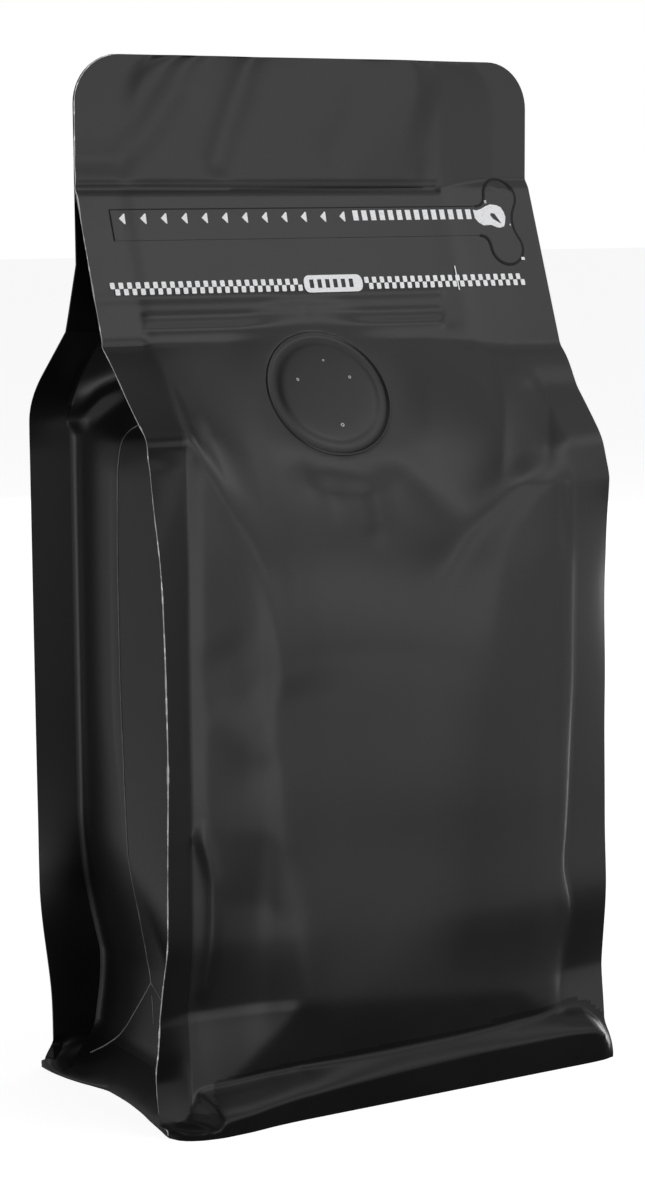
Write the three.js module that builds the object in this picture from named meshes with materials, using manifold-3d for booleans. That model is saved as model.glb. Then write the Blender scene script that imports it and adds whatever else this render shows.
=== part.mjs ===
// A flat-bottom coffee bag, shut and full, with a one-way valve and a pull-tab tear strip.
// Millimetres, +Z up. The front faces -Y, and the origin is on the floor under the middle of the bag.

import * as THREE from 'three';
import { mergeVertices } from 'three/addons/utils/BufferGeometryUtils.js';
import Module from 'manifold-3d';

const wasm = await Module();
wasm.setup();

// ---- Driving dimensions -------------------------------------------------------------------------

const BAG_WIDTH = 120;
const BAG_HEIGHT = 237;
const SEAL_WIDTH = 9.5; // the welded fin that stands out along each upright corner
const FIN_THICKNESS = 0.9; // the two films of a fin, with the air that the cut edge lets in
const HEADER_THICKNESS = 1; // all the layers of the flat top, pressed together
const TOP_CORNER_RADIUS = 11;

const FRONT_Y = -30.5; // the front fins' roots, at mid height
const BACK_Y = 30;
const HEADER_Y = 4.4; // front face of the flat top

// Heights of the bag's changes of shape
const HEADER_CREASE_Z = 208; // the layers part here, and both walls lean outwards below it
const HEADER_BOTTOM_Z = 172; // the stiff zipper zone ends, and the shoulder starts
const GUSSET_TUCK_Z = 151; // the side folds inwards above this
const GUSSET_VEE_Z = 30; // the side crease splits into two here
const UNDERCUT_Z = 30; // the walls curve in below this, down to the hem
const HEM_ROOT_Z = 12;
const HEM_TOP_Z = 9.2;

const HEADER_LEAN = 0.372; // how far the front comes forward for each millimetre down

// The back wall stays upright for a while, leans, and then turns into its shoulder
const BACK_LEAN_TOP_Z = 191;
const BACK_BEND_Z = 176;
const BACK_HEADER_LEAN = 0.4;
const BACK_SHOULDER_SLOPE = 1.18;

// The shoulder's slope at the left corner, across the middle, and at the right corner
const SHOULDER_SLOPE = { left: 1.25, middle: 0.67, right: 0.75 };
const SHOULDER_LEFT_REACH = 11; // width over which the left corner's steep slope fades out
const SHOULDER_ROUNDING = 0.0028; // the slope eases as the shoulder comes down

const BELLY = { front: 4.2, back: 3.4 }; // how far the full bag bulges between its fins
const UNDERCUT = 3.9;

// The hem is a skirt that flares at its corners. Its lower edge waves a little, at the left of the
// front and at the back of the left side.
const HEM = { left: -58.4, right: 60.2, front: -34.6, back: 31.4, frontLeftRadius: 5, radius: 1.5 };
const HEM_FLARE = { left: 0.9, right: 4.2, lowZ: 2.5, highZ: 8 };
const HEM_WAVE = { frontX: -49, frontWidth: 8, frontDepth: 2.7, sideY: 11, sideDepth: 2.4 };
const HEM_LEAN = 0.08; // how much further in the hem's foot is than its top

const VALVE_CENTRE = { x: -7.6, z: 161.7 };
const VALVE = { radius: 15.5, rim: 0.55, rimWidth: 0.9, sunk: -0.35, plateau: 0.75, plateauRadius: 12.1, body: 2.6 };
const CLEARANCE = 0.3;

const STRIP = { left: -51.8, right: 46, low: 196.1, high: 202.9, thickness: 0.5 };
const TAB_LOBE = { radius: 4.3, upper: { x: 51.3, z: 203.9 }, lower: { x: 50.4, z: 193.3 } };

// How far each fin is bent away from the wall's own plane, in degrees, at some heights.
// Positive bends it outwards: the front fins forwards, and the back fins backwards.
const FIN_BEND = {
  frontLeft: [[HEM_ROOT_Z, 6], [30, 24], [60, 26], [90, 31], [112, 24], [134, 11], [156, -14], [172, 0]],
  frontRight: [[HEM_ROOT_Z, 0], [38, -13], [64, -11], [100, -7], [145, -5], [160, 0]],
  backRight: [[HEM_ROOT_Z, 0], [40, 8], [90, 22], [140, 24], [166, 4], [180, 0]],
  backLeft: [[HEM_ROOT_Z, 0], [38, 8], [60, 19], [90, 28], [145, 30], [166, 6], [180, 0]],
};

// Distance of a gusset's middle crease from the bag's middle plane, at some heights
const GUSSET_CREASE = [
  [HEM_ROOT_Z, 41], [GUSSET_VEE_Z, 46.3], [60, 52.4], [100, 53.8], [143, 53.4],
  [GUSSET_TUCK_Z, 52.2], [157, 46.5], [166, 37], [180, 30], [HEADER_CREASE_Z, 30],
];
const GUSSET_FOOT = [[HEM_ROOT_Z, 48.6], [GUSSET_VEE_Z, 46.3]]; // the triangle under the side crease

// ---- Points round one level ---------------------------------------------------------------------

const HALF_WIDTH = BAG_WIDTH / 2;
const ROOT_X = HALF_WIDTH - SEAL_WIDTH;
const FIN_STEPS = 2;
const PANEL_STEPS = 20;
const GUSSET_STEPS = 10;

const COLOURS = { film: 0x242426, valve: 0x1e1e20, strip: 0x2a2a2c };

// ---- Small maths --------------------------------------------------------------------------------

const { lerp, smoothstep, degToRad } = THREE.MathUtils;

// A smooth value between the stations [height, value], level at each station that is a peak.
function along(stations, z) {
  const last = stations.length - 1;
  if (z <= stations[0][0]) return stations[0][1];
  if (z >= stations[last][0]) return stations[last][1];
  const i = stations.findIndex(([height]) => height > z) - 1;
  const [z0, v0] = stations[i];
  const [z1, v1] = stations[i + 1];
  const slopeAt = (k) => {
    if (k === 0 || k === last) return 0;
    const before = (stations[k][1] - stations[k - 1][1]) / (stations[k][0] - stations[k - 1][0]);
    const after = (stations[k + 1][1] - stations[k][1]) / (stations[k + 1][0] - stations[k][0]);
    return before * after <= 0 ? 0 : (2 * before * after) / (before + after);
  };
  const span = z1 - z0;
  const t = (z - z0) / span;
  const rise = v1 - v0;
  const a = slopeAt(i) * span;
  const b = slopeAt(i + 1) * span;
  return v0 + a * t + (3 * rise - 2 * a - b) * t * t + (a + b - 2 * rise) * t * t * t;
}

function smoothMax(a, b, width) {
  const overlap = Math.max(width - Math.abs(a - b), 0) / width;
  return Math.max(a, b) + (overlap * overlap * width) / 4;
}

const smoothMin = (a, b, width) => -smoothMax(-a, -b, width);

// ---- The walls ----------------------------------------------------------------------------------

const across = (x) => 1 - Math.min(Math.abs(x) / ROOT_X, 1) ** 2.4;

// 1 at mid height, fading to 0 at the hem and at the shoulder's corners
const fullness = (z) => smoothstep(z, HEM_ROOT_Z, 48) * (1 - 0.4 * smoothstep(z, 105, 160));

const undercut = (z) => UNDERCUT * (1 - smoothstep(z, HEM_ROOT_Z + 3, UNDERCUT_Z + 12));

function shoulderSlope(x) {
  const { left, middle, right } = SHOULDER_SLOPE;
  const leftShare = Math.exp(-(((x + ROOT_X) / SHOULDER_LEFT_REACH) ** 2));
  const rightShare = smoothstep(x, 15, ROOT_X);
  return middle + (left - middle) * leftShare + (right - middle) * rightShare;
}

// The front wall's y between the fins' roots
function frontY(x, z) {
  if (z >= HEADER_CREASE_Z) return HEADER_Y;
  const leaning = HEADER_Y - HEADER_LEAN * (HEADER_CREASE_Z - z);
  if (z >= HEADER_BOTTOM_Z) return leaning;
  const headerBottomY = HEADER_Y - HEADER_LEAN * (HEADER_CREASE_Z - HEADER_BOTTOM_Z);
  const drop = HEADER_BOTTOM_Z - z;
  const eased = SHOULDER_ROUNDING * across(x) * Math.min(drop, 60) ** 2;
  const shoulder = headerBottomY - shoulderSlope(x) * drop + eased;
  const body = FRONT_Y - BELLY.front * across(x) * fullness(z) + undercut(z);
  return smoothMax(shoulder, body, lerp(3, 12, across(x)));
}

// The back wall's y between the fins' roots
function backY(x, z) {
  if (z >= HEADER_CREASE_Z) return HEADER_Y + HEADER_THICKNESS;
  const lean = Math.max(BACK_LEAN_TOP_Z - Math.max(z, BACK_BEND_Z), 0);
  const leaning = HEADER_Y + HEADER_THICKNESS + BACK_HEADER_LEAN * lean;
  const drop = Math.max(BACK_BEND_Z - z, 0);
  const slope = lerp(BACK_SHOULDER_SLOPE, 0.8, across(x));
  const shoulder = leaning + slope * drop;
  const body = BACK_Y + BELLY.back * across(x) * fullness(z) - undercut(z);
  return smoothMin(shoulder, body, lerp(7, 12, across(x)));
}

// Distance of the gusset from the middle plane. share runs from -1 at the front root to 1 at the back.
function gussetX(share, z) {
  const tent = lerp(along(GUSSET_CREASE, z), ROOT_X, Math.abs(share));
  return z < GUSSET_VEE_Z ? Math.max(tent, along(GUSSET_FOOT, z)) : tent;
}

// ---- The bag as a stack of closed outlines ------------------------------------------------------

const steps = (count, from, to) => Array.from({ length: count + 1 }, (_, i) => lerp(from, to, i / count));

// A point of a fin at a distance from its root. side is -1 on the left, and wall is -1 at the front.
function finPoint(side, wall, z, distance, inset) {
  const name = (wall < 0 ? 'front' : 'back') + (side < 0 ? 'Left' : 'Right');
  const bend = degToRad(along(FIN_BEND[name], z));
  const rootY = wall < 0 ? frontY(side * ROOT_X, z) : backY(side * ROOT_X, z);
  const x = ROOT_X + distance * Math.cos(bend) + inset * Math.sin(bend);
  const y = distance * Math.sin(bend) - inset * Math.cos(bend);
  return [side * x, rootY + wall * y];
}

// One wall's outside, from fin edge to fin edge, in the direction of +X
function wallOutline(wall, z) {
  const wallY = wall < 0 ? frontY : backY;
  const fin = steps(FIN_STEPS, SEAL_WIDTH, 0);
  return [
    ...fin.map((distance) => finPoint(-1, wall, z, distance, 0)),
    ...steps(PANEL_STEPS, -ROOT_X, ROOT_X).slice(1, -1).map((x) => [x, wallY(x, z)]),
    ...fin.reverse().map((distance) => finPoint(1, wall, z, distance, 0)),
  ];
}

// One side's recess, from the front fin's inner face round the gusset to the back fin's.
// Where the walls meet, it closes up to the straight edge of the header.
function sideOutline(side, z) {
  const front = frontY(side * ROOT_X, z);
  const back = backY(side * ROOT_X, z);
  const fin = steps(FIN_STEPS, SEAL_WIDTH, 0);
  const gap = back - front - 2 * FIN_THICKNESS;
  const gusset = steps(GUSSET_STEPS, -1, 1).slice(1, -1).map((share) => [
    side * gussetX(share, z),
    lerp(front + FIN_THICKNESS, back - FIN_THICKNESS, (share + 1) / 2),
  ]);
  const open = [
    ...fin.map((distance) => finPoint(side, -1, z, distance, FIN_THICKNESS)),
    ...gusset,
    ...fin.reverse().map((distance) => finPoint(side, 1, z, distance, FIN_THICKNESS)),
  ];
  const opening = smoothstep(gap, 0.2, 4);
  return open.map(([x, y], i) => {
    const closedY = lerp(front, back, (i + 1) / (open.length + 1));
    return [lerp(side * HALF_WIDTH, x, opening), lerp(closedY, y, opening)];
  });
}

// The level's outline above the hem, counter-clockwise from the front left fin's edge
function bodyOutline(z) {
  return [
    ...wallOutline(-1, z),
    ...sideOutline(1, z),
    ...wallOutline(1, z).reverse(),
    ...sideOutline(-1, z).reverse(),
  ];
}

// How far a rounded corner takes a wall in, at a distance past the start of its arc
const cornerDrop = (over, radius) => radius - Math.sqrt(Math.max(radius ** 2 - Math.max(over, 0) ** 2, 0));

// The hem's outline at one level, a rectangle with rounded corners, with as many points as a body outline
function hemOutline(z) {
  const tuck = smoothstep(z, HEM_FLARE.lowZ, HEM_FLARE.highZ);
  const left = HEM.left + HEM_FLARE.left * tuck;
  const right = HEM.right - HEM_FLARE.right * tuck;
  const lean = HEM_LEAN * (HEM_TOP_Z - z);
  const frontWave = (x) => HEM_WAVE.frontDepth * Math.exp(-(((x - HEM_WAVE.frontX) / HEM_WAVE.frontWidth) ** 2));
  const wallPoint = (wall, x) => {
    const leftRadius = wall < 0 ? HEM.frontLeftRadius : HEM.radius;
    const drop = cornerDrop(left + leftRadius - x, leftRadius) + cornerDrop(x - right + HEM.radius, HEM.radius);
    const straight = wall < 0 ? HEM.front + lean - frontWave(x) * (1 - tuck) : HEM.back - lean;
    return [x, straight - wall * drop];
  };
  const wall = (side) => [
    ...steps(FIN_STEPS, 0, SEAL_WIDTH / BAG_WIDTH),
    ...steps(PANEL_STEPS, ROOT_X, -ROOT_X).slice(1, -1).map((x) => (HALF_WIDTH - x) / BAG_WIDTH),
    ...steps(FIN_STEPS, 1 - SEAL_WIDTH / BAG_WIDTH, 1),
  ].map((share) => wallPoint(side, lerp(left, right, share)));
  const count = 2 * (FIN_STEPS + 1) + GUSSET_STEPS - 1;
  const sideWall = (x, wave, frontRadius) => Array.from({ length: count }, (_, i) => {
    const y = lerp(HEM.front + frontRadius, HEM.back - HEM.radius, (i + 0.5) / count);
    return [x - wave * smoothstep(y, HEM_WAVE.sideY - 6, HEM_WAVE.sideY + 4), y];
  });
  return [
    ...wall(-1),
    ...sideWall(right, 0, HEM.radius),
    ...wall(1).reverse(),
    ...sideWall(left, HEM_WAVE.sideDepth * (1 - tuck), HEM.frontLeftRadius).reverse(),
  ];
}

// Half the header's width, narrowing into the top corners' arcs
function topHalfWidth(z) {
  const over = Math.max(z - (BAG_HEIGHT - TOP_CORNER_RADIUS), 0);
  return HALF_WIDTH - TOP_CORNER_RADIUS + Math.sqrt(TOP_CORNER_RADIUS ** 2 - over ** 2);
}

function outlineAt(z) {
  const hem = hemOutline(z);
  if (z <= HEM_TOP_Z) return hem;
  const body = bodyOutline(Math.max(z, HEM_ROOT_Z));
  if (z < HEM_ROOT_Z) {
    const share = smoothstep(z, HEM_TOP_Z, HEM_ROOT_Z);
    return body.map(([x, y], i) => [lerp(hem[i][0], x, share), lerp(hem[i][1], y, share)]);
  }
  const narrowing = topHalfWidth(z) / HALF_WIDTH;
  return body.map(([x, y]) => [x * narrowing, y]);
}

function levels() {
  return [
    0,
    ...steps(2, HEM_FLARE.lowZ, HEM_FLARE.highZ),
    ...steps(3, HEM_TOP_Z, HEM_ROOT_Z),
    ...steps(6, 14, UNDERCUT_Z),
    ...steps(12, 38, 134),
    ...steps(10, 140, HEADER_BOTTOM_Z),
    ...steps(3, 176, 188),
    ...steps(6, 192, HEADER_CREASE_Z),
    212,
    ...steps(6, 0, Math.PI / 2).map((angle) => (
      BAG_HEIGHT - TOP_CORNER_RADIUS + TOP_CORNER_RADIUS * Math.sin(angle)
    )),
  ];
}

// Joins outlines with equal numbers of points, stacked upwards, into one closed geometry
function stackedGeometry(outlines, heights) {
  const count = outlines[0].length;
  const positions = outlines.flatMap((outline, k) => outline.flatMap(([x, y]) => [x, y, heights[k]]));
  const index = [];
  const corner = (i) => new THREE.Vector3().fromArray(positions, 3 * i);
  const distance = (i, j) => corner(i).distanceTo(corner(j));
  for (let k = 0; k + 1 < outlines.length; k++) {
    for (let i = 0; i < count; i++) {
      const a = k * count + i;
      const b = k * count + ((i + 1) % count);
      if (distance(a, b + count) < distance(b, a + count)) {
        index.push(a, b, b + count, a, b + count, a + count);
      } else {
        index.push(a, b, a + count, b, b + count, a + count);
      }
    }
  }
  const cap = (k) => THREE.ShapeUtils.triangulateShape(outlines[k].map(([x, y]) => new THREE.Vector2(x, y)), []);
  const top = (outlines.length - 1) * count;
  cap(0).forEach(([a, b, c]) => index.push(a, c, b));
  cap(outlines.length - 1).forEach(([a, b, c]) => index.push(top + a, top + b, top + c));
  const geometry = new THREE.BufferGeometry();
  geometry.setAttribute('position', new THREE.Float32BufferAttribute(positions, 3));
  geometry.setIndex(index);
  return geometry;
}

// ---- Solids for cutting -------------------------------------------------------------------------

function toSolid(geometry) {
  const bare = geometry.clone();
  bare.deleteAttribute('normal');
  bare.deleteAttribute('uv');
  const merged = mergeVertices(bare, 1e-4);
  return new wasm.Manifold(new wasm.Mesh({
    numProp: 3,
    vertProperties: new Float32Array(merged.attributes.position.array),
    triVerts: new Uint32Array(merged.index.array),
  }));
}

function fromSolid(solid) {
  const mesh = solid.getMesh();
  const geometry = new THREE.BufferGeometry();
  geometry.setAttribute('position', new THREE.Float32BufferAttribute(mesh.vertProperties, 3));
  geometry.setIndex(new THREE.Uint32BufferAttribute(mesh.triVerts, 1));
  geometry.computeVertexNormals();
  return geometry;
}

// ---- The valve ----------------------------------------------------------------------------------

// Places a piece turned about Y on the shoulder, with its own +Y along the wall's normal
function valvePlacement() {
  const { x, z } = VALVE_CENTRE;
  const reach = 1;
  const slopeZ = (frontY(x, z + reach) - frontY(x, z - reach)) / (2 * reach);
  const slopeX = (frontY(x + reach, z) - frontY(x - reach, z)) / (2 * reach);
  const normal = new THREE.Vector3(slopeX, -1, slopeZ).normalize();
  const turn = new THREE.Quaternion().setFromUnitVectors(new THREE.Vector3(0, 1, 0), normal);
  return new THREE.Matrix4().compose(new THREE.Vector3(x, frontY(x, z), z), turn, new THREE.Vector3(1, 1, 1));
}

function valveGeometry() {
  const { radius, rim, rimWidth, sunk, plateau, plateauRadius, body } = VALVE;
  const bottom = CLEARANCE - body;
  const profile = [
    [0, bottom], [radius, bottom], [radius, rim / 2], [radius - rimWidth / 2, rim],
    [radius - rimWidth, sunk], [plateauRadius + 0.7, sunk], [plateauRadius, plateau * 0.75],
    [plateauRadius - 1.2, plateau], [0, plateau + 0.25],
  ].map(([r, y]) => new THREE.Vector2(r, y));
  return new THREE.LatheGeometry(profile, 48);
}

function valveSeatGeometry() {
  const { radius, body } = VALVE;
  const above = 8;
  const seat = new THREE.CylinderGeometry(radius + CLEARANCE, radius + CLEARANCE, body + above, 48);
  seat.translate(0, (above - body) / 2, 0);
  return seat;
}

// ---- The tear strip -----------------------------------------------------------------------------

// The strip and its two-lobed tab as one outline, in the leaning header's own plane:
// x runs across the bag and y up the header, from the level of the strip's lower edge.
function stripShape() {
  const stretch = Math.hypot(1, HEADER_LEAN);
  const up = (z) => (z - STRIP.low) * stretch;
  const { radius, upper, lower } = TAB_LOBE;
  const shape = new THREE.Shape();
  shape.moveTo(STRIP.left, up(STRIP.low));
  shape.lineTo(STRIP.right - 2.5, up(STRIP.low));
  shape.quadraticCurveTo(STRIP.right, up(STRIP.low), lower.x - radius, up(lower.z));
  shape.absarc(lower.x, up(lower.z), radius, Math.PI, degToRad(395), false);
  shape.quadraticCurveTo(lower.x + 2.2, up((lower.z + upper.z) / 2), upper.x + radius * 0.8, up(upper.z) - radius * 0.6);
  shape.absarc(upper.x, up(upper.z), radius, degToRad(-37), Math.PI, false);
  shape.quadraticCurveTo(STRIP.right, up(STRIP.high), STRIP.right - 2.5, up(STRIP.high));
  shape.lineTo(STRIP.left, up(STRIP.high));
  shape.closePath();
  return shape;
}

function stripGeometry() {
  return new THREE.ExtrudeGeometry(stripShape(), {
    depth: STRIP.thickness,
    bevelEnabled: false,
    curveSegments: 14,
  });
}

// ---- Assembly -----------------------------------------------------------------------------------

function film(colour, roughness) {
  return new THREE.MeshStandardMaterial({ color: colour, roughness, metalness: 0 });
}

function named(name, geometry, material) {
  const mesh = new THREE.Mesh(geometry, material);
  mesh.name = name;
  return mesh;
}

function makeBag() {
  const heights = levels();
  const body = toSolid(stackedGeometry(heights.map(outlineAt), heights));
  const seat = toSolid(valveSeatGeometry().applyMatrix4(valvePlacement()));
  return named('bag', fromSolid(body.subtract(seat)), film(COLOURS.film, 0.55));
}

function makeValve() {
  const valve = named('valve', valveGeometry(), film(COLOURS.valve, 0.5));
  valvePlacement().decompose(valve.position, valve.quaternion, valve.scale);
  return valve;
}

function makeTearStrip() {
  const strip = named('tear_strip', stripGeometry(), film(COLOURS.strip, 0.55));
  strip.rotation.x = Math.PI / 2 - Math.atan(HEADER_LEAN);
  const normal = new THREE.Vector3(0, -1, HEADER_LEAN).normalize();
  strip.position.set(0, frontY(0, STRIP.low), STRIP.low).addScaledVector(normal, CLEARANCE);
  return strip;
}

const coffeeBag = new THREE.Group();
coffeeBag.add(makeBag(), makeValve(), makeTearStrip());

export default coffeeBag;
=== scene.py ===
"""The finish of a flat-bottom coffee bag: black film with every fold, valve, tear strip and print.

Shapes are worked out in millimetres and made in metres. The front faces -Y, and +Z is up.
"""

import math

import bpy
import numpy as np
from mathutils import Matrix, Vector


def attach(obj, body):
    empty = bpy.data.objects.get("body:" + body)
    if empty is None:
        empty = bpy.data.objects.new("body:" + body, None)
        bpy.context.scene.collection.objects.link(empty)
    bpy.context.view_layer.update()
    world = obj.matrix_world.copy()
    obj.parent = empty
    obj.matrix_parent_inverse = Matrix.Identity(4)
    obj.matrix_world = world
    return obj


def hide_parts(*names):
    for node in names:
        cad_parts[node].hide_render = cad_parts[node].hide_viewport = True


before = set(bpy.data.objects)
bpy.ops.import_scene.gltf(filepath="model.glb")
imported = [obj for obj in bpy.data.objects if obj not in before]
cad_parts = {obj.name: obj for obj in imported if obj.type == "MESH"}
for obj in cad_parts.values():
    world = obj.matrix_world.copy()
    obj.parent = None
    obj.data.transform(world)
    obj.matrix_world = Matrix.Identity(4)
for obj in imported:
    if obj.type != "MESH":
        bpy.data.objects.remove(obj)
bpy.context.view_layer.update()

MM = 0.001

# ---- Sizes of the bag -----------------------------------------------------------------------------

BAG_HEIGHT = 237
HALF_WIDTH = 60
SEAL_WIDTH = 9.5  # the welded fin along each upright corner
ROOT_X = HALF_WIDTH - SEAL_WIDTH  # the fins' roots, where they are straight
FIN_FILM = 0.5  # two films, with the air that the cut edge lets in
TOP_FILM = 0.8
TOP_CORNER_RADIUS = 11

FRONT_Y = -30.5
BACK_Y = 30
HEADER_Y = 4.4
HEADER_LEAN = 0.372
HEADER_CREASE_Z = 208
GUSSET_VEE_Z = 30
FOOT_Z = 12  # where the walls begin to spread towards the hem

# Heights of the header's crease and of the bend under it, at some x
CREASE_LINE = [(-60, 207.9), (34, 207.5), (40, 208.4), (60, 209.7)]
HEADER_BOTTOM = [(-60, 172.4), (-45, 173.6), (20, 173), (32, 172.2), (40, 170.6), (60, 170.2)]

# The shoulder's steepness just below the header, at some x
SHOULDER_STEEPNESS = [
    (-52, 1.3), (-46, 1.03), (-41, 0.87), (-36, 0.785), (-31, 0.735), (-25, 0.712), (-18, 0.705),
    (-8, 0.706), (2, 0.715), (12, 0.737), (22, 0.776), (32, 0.842), (42, 0.945), (52, 1.06),
]
SHOULDER_ROUNDING = 0.00516
SHOULDER_TAIL = 0.05

# How far the front's middle stands out of its roots, at some x, and how much of that at some heights
FRONT_BELLY = [
    (-50.5, 0), (-46, 0.15), (-40, 0.35), (-35, 0.85), (-30, 1.9), (-24, 3.1), (-12, 4.3), (0, 4.7),
    (12, 4.6), (25, 3.9), (36, 2.5), (45, 0.8), (50.5, 0),
]
FRONT_FULLNESS = [
    (10, 1.08), (24, 1.1), (50, 1.07), (70, 1.09), (105, 1.02), (120, 0.74), (128, 0.46),
    (135, 0.3), (141, 0.2), (150, 0.15),
]
BACK_BELLY = 3.4
LEFT_ROLL = {"depth": 0.75, "width": 3.4}  # the film's turn out of each root
RIGHT_ROLL = {"depth": 0.8, "width": 1.4}
ROOT_UNDERCUT = {"left": 2.2, "right": 2.4, "back": 3.9, "low": 17, "high": 45, "reach": 5, "facet": 27}
FACET_TOP_Z = 27

# The line under which the front turns in towards the hem, at some x
UNDERCUT_LINE = [
    (-48, 8), (-42.7, 10.5), (-38.1, 13.9), (-32.7, 18.9), (-28.6, 23.2), (-25, 26.2), (-10.6, 25),
    (3.1, 23.8), (17.2, 22.2), (31.7, 20), (37.8, 16.4), (45.1, 12.6), (50, 9),
]
UNDERCUT_SLOPE = 0.17

BACK_LEAN_TOP_Z = 191
BACK_BEND_Z = 176
BACK_HEADER_LEAN = 0.4
BACK_SHOULDER_SLOPE = 1.18

# The hem on the floor: the front's y at some x, and a side's distance from the middle at some y
HEM_FRONT = [
    (-57.6, -29.5), (-56.6, -31.8), (-54.5, -33.6), (-51, -35), (-46, -35.7), (-41, -35.6),
    (-33, -34.8), (-26, -34.5), (52, -34.5), (57, -34.3), (60.6, -33.4),
]
HEM_BACK_Y = 31.4
HEM_SIDE = [
    (-29, 57.6), (-24, 57), (-18, 56.3), (-10, 55.2), (-1.6, 54.7), (6, 54.9), (11, 56.3), (15.6, 58),
    (21, 59.5), (27, 60.5), (31, 60.7),
]
HEM_LEFT_X = -57.6
HEM_RIGHT_X = 60.4
HEM_LEAN = 0.14

# Where the film is welded, and given less sheen as painted shade: the hem and a strip above it, and the
# front left fin
PAINTED_SHADE_OVER_HEM = 2
SIDE_PAINTED_SHADE_TOP_Z = 9
FIN_PAINTED_SHADE_TOP_Z = 153

# Heights between which the front leaves its own shape for the hem's, at some x
HEM_LOW = [
    (-60, 1.4), (-49, 1.6), (-46.5, 3.2), (-40, 4), (-27, 5.4), (0, 7), (27, 8), (45, 8.2), (54, 7.6),
    (57, 6), (60, 0.5),
]
HEM_HIGH = [
    (-60, 3.2), (-49, 3.6), (-46.5, 9.5), (-40, 10), (-27, 10.8), (0, 12), (27, 12.6), (45, 13),
    (54, 12.4), (57, 10), (60, 8),
]

VALVE_CENTRE = (-7.6, 161.7)
VALVE_RADIUS = 15.5
VALVE_FLAT_REACH = 11  # how far round the disc the film is drawn flat
VALVE_SINK = 0.6
# The disc under the film, from its rim to its middle: radius and height
VALVE_PROFILE = [
    (15.9, -0.2), (15.65, 0.05), (15.45, 0.26), (15.25, 0.28), (15.05, 0.12), (14.8, -0.04),
    (14.3, -0.1), (13.3, -0.08), (12.7, 0.02), (12.2, 0.16), (11.7, 0.27), (10.8, 0.34),
    (8.0, 0.4), (4.0, 0.43), (0, 0.45),
]
VALVE_STEPS = 96
# x, z and radius
PIN_HOLES = [(-6.9, 168.7, 0.2), (-14.9, 164.8, 0.27), (-1.3, 164.8, 0.27), (-6.8, 154.6, 0.34)]
PIN_HOLE_LIFT = 0.42

STRIP = {"left": -52.8, "right": 46, "low": 196.2, "high": 203}
TAB_RADIUS = 4.35
TAB_UPPER = (51, 205.3)
TAB_LOWER = (50.4, 193.4)
# Painted highlights on the die-cut edges round the tab
# x, z, width and height
TAB_CUT_HIGHLIGHTS = [(46.4, 203.7, 0.6, 0.7), (53.7, 190.2, 0.9, 0.7), (52.3, 198.3, 0.3, 0.5)]

# Heights above the front wall, and thicknesses, of what lies on it
STRIP_LIFT, STRIP_FILM = 0.04, 0.08
CUT_LIFT, CUT_DEPTH = 0.11, 0.05
CUT_HIGHLIGHT_LIFT = 0.14
INK_LIFT, INK = 0.16, 0.04

# How far each fin is bent away from its wall's own plane, in degrees, at some heights
FIN_BEND = {
    ("front", "left"): [
        (0, -4), (5, -12), (12, -18), (20, 2), (28, 12.5), (36, 17), (46, 24), (68, 25.5),
        (90, 28.5), (100, 27.5), (112, 26.5), (120, 25.5), (128, 22), (134, 17), (140, 10),
        (144, 5), (148, -2), (151, -11), (156, -14), (172, 0),
    ],
    ("front", "right"): [
        (0, 0), (12, 0), (38, -5), (64, -8), (84, -12), (112, -16), (128, -13), (145, -3), (160, 0),
    ],
    ("back", "right"): [(0, 0), (12, 0), (40, 8), (90, 22), (140, 24), (166, 4), (180, 0)],
    ("back", "left"): [(0, 0), (12, 0), (38, 8), (60, 19), (90, 28), (145, 30), (166, 6), (180, 0)],
}
# How much further its cut edge has curled than its root, in degrees
FIN_CURL = {
    ("front", "left"): [(0, 0), (104, 0), (120, -6), (134, -12), (144, -14), (150, -4), (156, 0)],
    ("front", "right"): [(0, 0), (60, 0), (90, -6), (115, -10), (130, -5), (143, 0)],
}
# Distance of the fins' roots from the middle plane, where they are not straight, at some heights
FRONT_LEFT_ROOT = [(0, 52.3), (24, 52.3), (42, 51.8), (148, 51.8), (164, ROOT_X)]
FRONT_RIGHT_ROOT = [
    (0, ROOT_X), (36, 50), (49, 47.4), (58, 48.3), (78, 49.4), (92, 49.9), (145, 50.2), (160, ROOT_X),
]
BACK_ROOT = [(0, 46.2), (5, 45.6), (13, 44.4), (20, 45.3), (28, 46.3), (40, 48), (50, 49.6), (62, ROOT_X)]

# Distance of the front right fin's cut edge from the middle plane, along the fin, at some heights
FRONT_RIGHT_EDGE = [
    (0, 60), (12, 60.4), (30, 60.6), (50, 60.4), (64, 60.6), (84, 61.4), (112, 62.3), (128, 61.8),
    (145, 60.3), (160, HALF_WIDTH),
]

# Distance of a gusset's middle crease from the bag's middle plane, at some heights
GUSSET_CREASE = [
    (0, 46), (12, 45), (GUSSET_VEE_Z, 46.3), (60, 52.4), (100, 53.8), (143, 53.4),
    (151, 52.2), (157, 46.5), (166, 37), (180, 30), (HEADER_CREASE_Z, 30),
]
GUSSET_FOOT = [(0, 50), (12, 48.6), (GUSSET_VEE_Z, 46.3)]
GUSSET_ROOT = {"hollow": 1.6, "hollow_width": 5, "fillet": 2.2, "fillet_width": 1.2}

# How far back the gusset's crease runs, as a share of the way from the front wall, at some heights
GUSSET_FOLD = [
    (0, 0.33), (30, 0.34), (39, 0.4), (47.6, 0.45), (58.5, 0.505), (74.5, 0.53), (88, 0.545),
    (129, 0.545), (143, 0.535), (151, 0.505), (160, 0.5),
]
# A ridge of the tucked film above a gusset, as points of (y, z)
TUCK_RIDGE = [
    (34, 153.8), (28.3, 154.8), (23.4, 155.6), (20.2, 157.4), (17.4, 160.3), (13.7, 162.2),
    (9.5, 163.7),
]

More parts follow.
